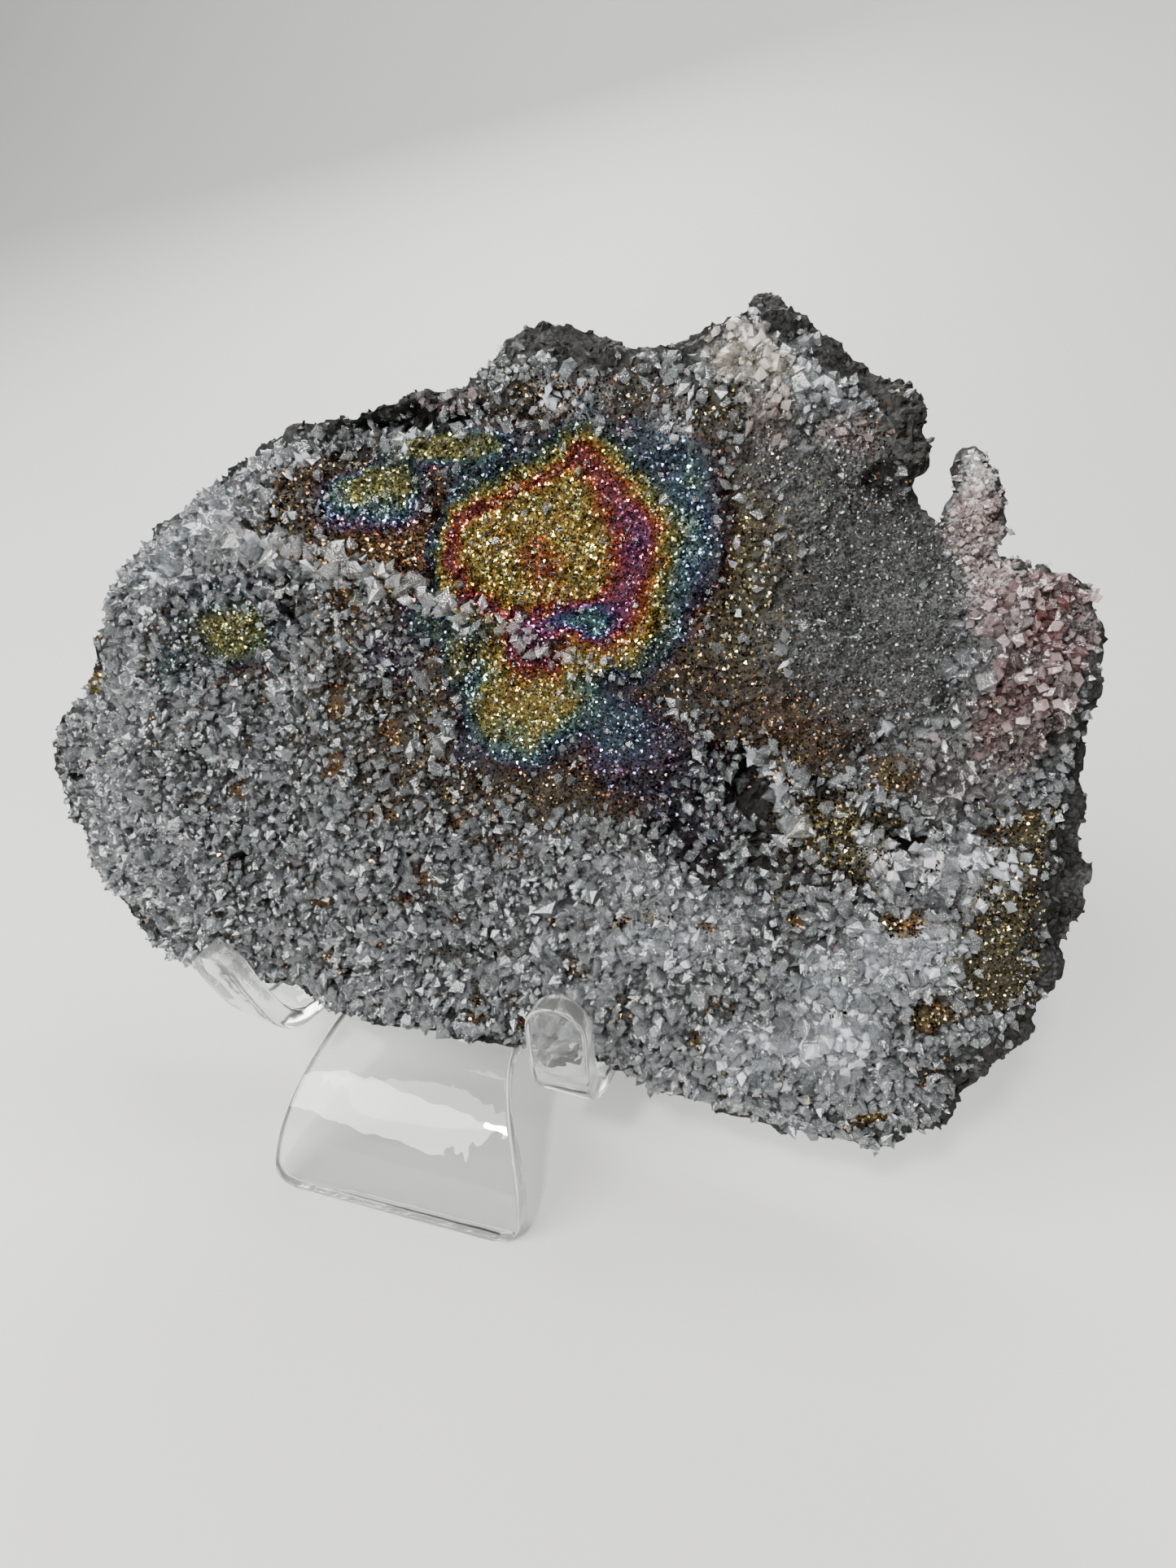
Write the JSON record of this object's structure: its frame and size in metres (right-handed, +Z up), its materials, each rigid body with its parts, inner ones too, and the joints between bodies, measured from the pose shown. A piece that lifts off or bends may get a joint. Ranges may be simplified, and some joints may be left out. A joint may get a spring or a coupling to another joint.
{
  "type": "chalcopyrite on calcite",
  "caption": "Slab of dark matrix crusted with grey calcite crystals and iridescent chalcopyrite, leaning on a clear acrylic easel.",
  "frame": {"origin": "middle of the whole object's box, on the surface it stands on", "axes": "+X right across the specimen's face, +Y back, +Z up"},
  "size_m": [0.2232, 0.0992, 0.1738],
  "materials": {
    "mineral": "grey crystalline crust with metallic tarnish of gold, red, blue and purple",
    "clear_acrylic": "clear and polished, with satin sawn edges on the arms"
  },
  "bodies": {
    "root": {"mineral_specimen": "mineral", "display_stand": "clear_acrylic"}
  },
  "joints": []
}
